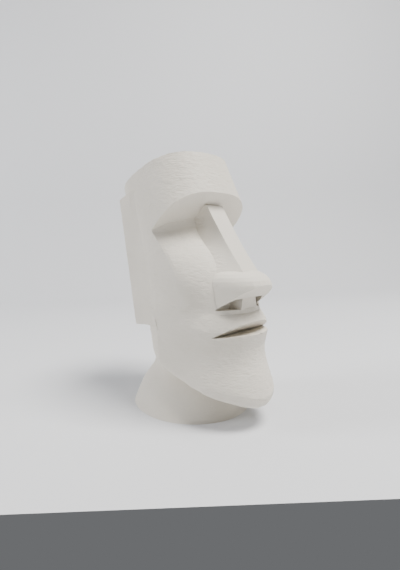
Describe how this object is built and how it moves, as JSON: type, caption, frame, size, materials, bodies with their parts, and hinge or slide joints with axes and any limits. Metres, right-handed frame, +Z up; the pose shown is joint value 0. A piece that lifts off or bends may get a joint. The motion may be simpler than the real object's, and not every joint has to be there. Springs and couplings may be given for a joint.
{
  "type": "moai head statue",
  "caption": "Small printed moai head ornament: a long leaning head with overhanging flat brow, straight nose, slab ears and jutting chin on a flared oval foot.",
  "frame": {"origin": "centre of the oval foot's underside, on the surface it stands on", "axes": "+Z up, the face looks along -Y, +X to the statue's left; the statue is mirror-symmetric about X = 0"},
  "size_m": [0.0554, 0.0899, 0.1199],
  "materials": {
    "printed_plastic": "matte warm white with a fine fuzzy printed skin"
  },
  "bodies": {
    "root": {"moai_head": "printed_plastic"}
  },
  "joints": []
}
